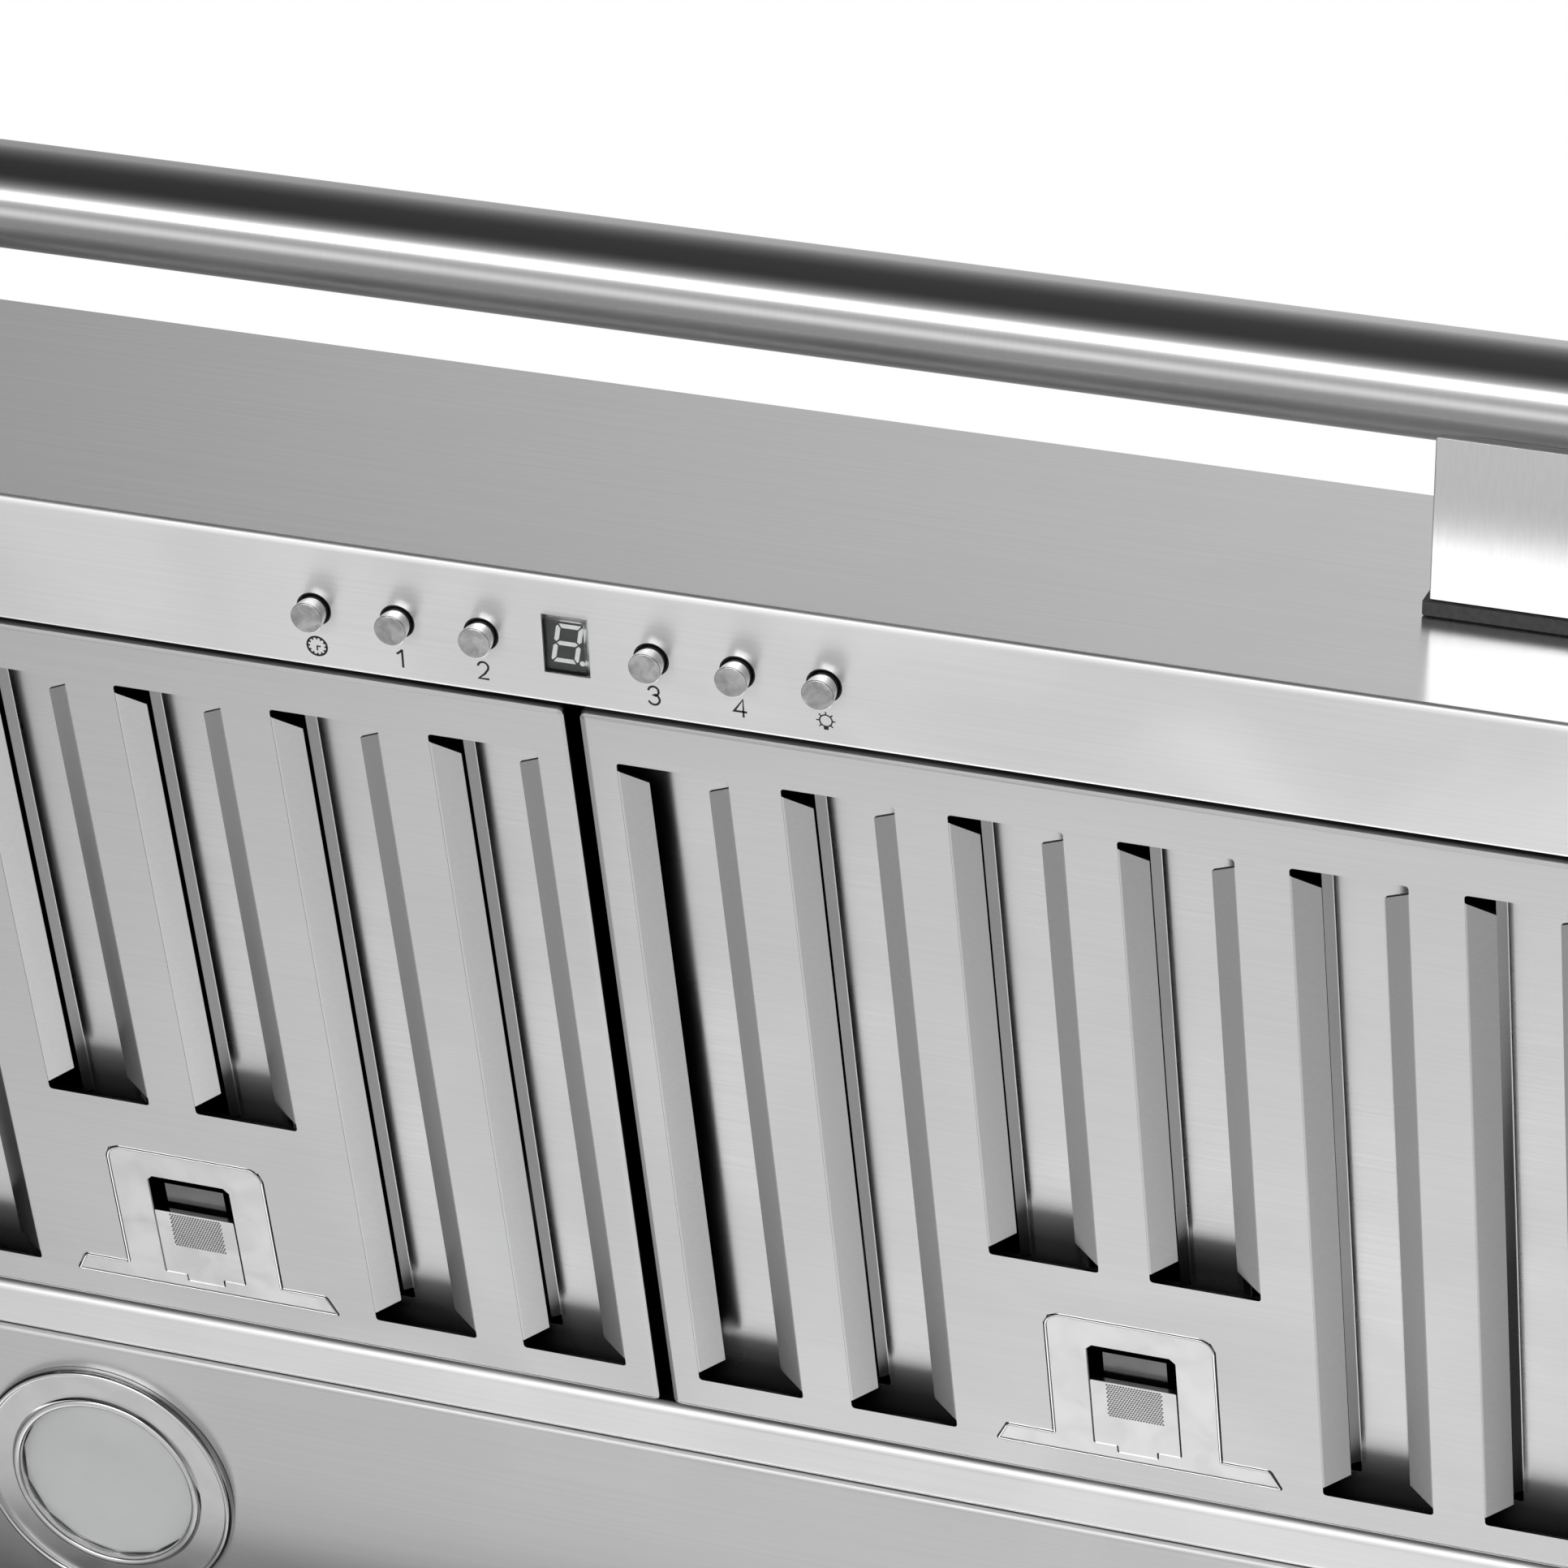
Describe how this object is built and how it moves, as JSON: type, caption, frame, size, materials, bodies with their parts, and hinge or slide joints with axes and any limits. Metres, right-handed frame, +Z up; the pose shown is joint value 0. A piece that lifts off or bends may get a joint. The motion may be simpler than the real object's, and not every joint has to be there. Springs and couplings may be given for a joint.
{
  "type": "under cabinet range hood",
  "caption": "Stainless under cabinet range hood with a towel bar, push buttons, a digit display, baffle filters with spring latches, lamps and a double inlet blower",
  "frame": {"origin": "on the flat top, in the middle of the rear line of cabinet screws, 25 mm in front of the wall", "axes": "+X to the right hand of a user who faces the hood, +Y to the wall, +Z up"},
  "size_m": [0.762, 0.6466, 0.3088],
  "materials": {
    "body": "brushed stainless sheet, grain along the width",
    "bar": "satin stainless tube",
    "bracket": "brushed stainless, grain along the standoff",
    "gasket": "dark grey rubber",
    "bolt": "zinc plated",
    "key": "turned, fine circular grain",
    "black_plastic": "fine matt",
    "window": "clear, bevelled edge",
    "display": "dark grey face, light segments",
    "board": "circuit board",
    "filter": "satin stainless sheet",
    "latch": "polished zinc casting",
    "spring": "bright wire",
    "lamp_ring": "polished",
    "lamp_lens": "frosted",
    "lamp_source": "white reflector",
    "galvanised": "galvanised sheet",
    "motor": "black enamel"
  },
  "bodies": {
    "hood": {"front_panel": "body", "top_panel": "body", "rear_panel": "body", "rear_filter_rail": "body", "lamp_panel": "body", "towel_bar": "bar", "button_carrier": "black_plastic", "supply_gland": "black_plastic", "display_window": "window", "display_module": "display", "control_board": "board", "side_panel_left": "body", "side_rail_left": "body", "bar_cap_left": "bar", "bar_bracket_left": "bracket", "bracket_gasket_left": "gasket", "bar_bolt_left": "bolt", "filter_face_left": "filter", "filter_channels_left": "filter", "latch_plate_left": "latch", "latch_spring_left": "spring", "lamp_bezel_left": "lamp_ring", "lamp_lens_left": "lamp_lens", "lamp_module_left": "lamp_source", "lamp_housing_left": "galvanised", "blower_side_left": "galvanised", "side_panel_right": "body", "side_rail_right": "body", "bar_cap_right": "bar", "bar_bracket_right": "bracket", "bracket_gasket_right": "gasket", "bar_bolt_right": "bolt", "filter_face_right": "filter", "filter_channels_right": "filter", "latch_plate_right": "latch", "latch_spring_right": "spring", "lamp_bezel_right": "lamp_ring", "lamp_lens_right": "lamp_lens", "lamp_module_right": "lamp_source", "lamp_housing_right": "galvanised", "blower_side_right": "galvanised", "blower_scroll": "galvanised", "motor_bracket": "galvanised", "duct_collar": "galvanised", "junction_box": "galvanised", "motor": "motor", "damper_pin": "spring"},
    "button_timer": {"button_timer": "key"},
    "button_speed_1": {"button_speed_1": "key"},
    "button_speed_2": {"button_speed_2": "key"},
    "button_speed_3": {"button_speed_3": "key"},
    "button_speed_4": {"button_speed_4": "key"},
    "button_light": {"button_light": "key"},
    "latch_left": {"latch_slider_left": "latch"},
    "latch_right": {"latch_slider_right": "latch"},
    "blower_wheel": {"impeller": "galvanised", "impeller_disc": "galvanised", "impeller_shaft": "spring"},
    "flap_front": {"damper_flap_front": "galvanised"},
    "flap_rear": {"damper_flap_rear": "galvanised"}
  },
  "joints": [
    {"name": "press_timer", "type": "slide", "parent": "hood", "child": "button_timer", "axis": [0, 0, 1], "range_m": [0, 0.0016], "stiffness_N_per_m": 500, "springref_m": -0.001},
    {"name": "press_speed_1", "type": "slide", "parent": "hood", "child": "button_speed_1", "axis": [0, 0, 1], "range_m": [0, 0.0016], "stiffness_N_per_m": 500, "springref_m": -0.001},
    {"name": "press_speed_2", "type": "slide", "parent": "hood", "child": "button_speed_2", "axis": [0, 0, 1], "range_m": [0, 0.0016], "stiffness_N_per_m": 500, "springref_m": -0.001},
    {"name": "press_speed_3", "type": "slide", "parent": "hood", "child": "button_speed_3", "axis": [0, 0, 1], "range_m": [0, 0.0016], "stiffness_N_per_m": 500, "springref_m": -0.001},
    {"name": "press_speed_4", "type": "slide", "parent": "hood", "child": "button_speed_4", "axis": [0, 0, 1], "range_m": [0, 0.0016], "stiffness_N_per_m": 500, "springref_m": -0.001},
    {"name": "press_light", "type": "slide", "parent": "hood", "child": "button_light", "axis": [0, 0, 1], "range_m": [0, 0.0016], "stiffness_N_per_m": 500, "springref_m": -0.001},
    {"name": "latch_slide_left", "type": "slide", "parent": "hood", "child": "latch_left", "axis": [0, -0.9903, -0.1392], "range_m": [0, 0.009], "stiffness_N_per_m": 300, "springref_m": -0.008, "deforming": ["latch_spring_left"]},
    {"name": "latch_slide_right", "type": "slide", "parent": "hood", "child": "latch_right", "axis": [0, -0.9903, -0.1392], "range_m": [0, 0.009], "stiffness_N_per_m": 300, "springref_m": -0.008, "deforming": ["latch_spring_right"]},
    {"name": "blower_spin", "type": "hinge", "parent": "hood", "child": "blower_wheel", "pos_m": [0, -0.16986, -0.098], "axis": [1, 0, 0], "continuous": true},
    {"name": "flap_swing_front", "type": "hinge", "parent": "hood", "child": "flap_front", "pos_m": [0, -0.125, 0.0187], "axis": [-1, 0, 0], "range_deg": [0, 80]},
    {"name": "flap_swing_rear", "type": "hinge", "parent": "hood", "child": "flap_rear", "pos_m": [0, -0.125, 0.0187], "axis": [1, 0, 0], "range_deg": [0, 80]}
  ]
}
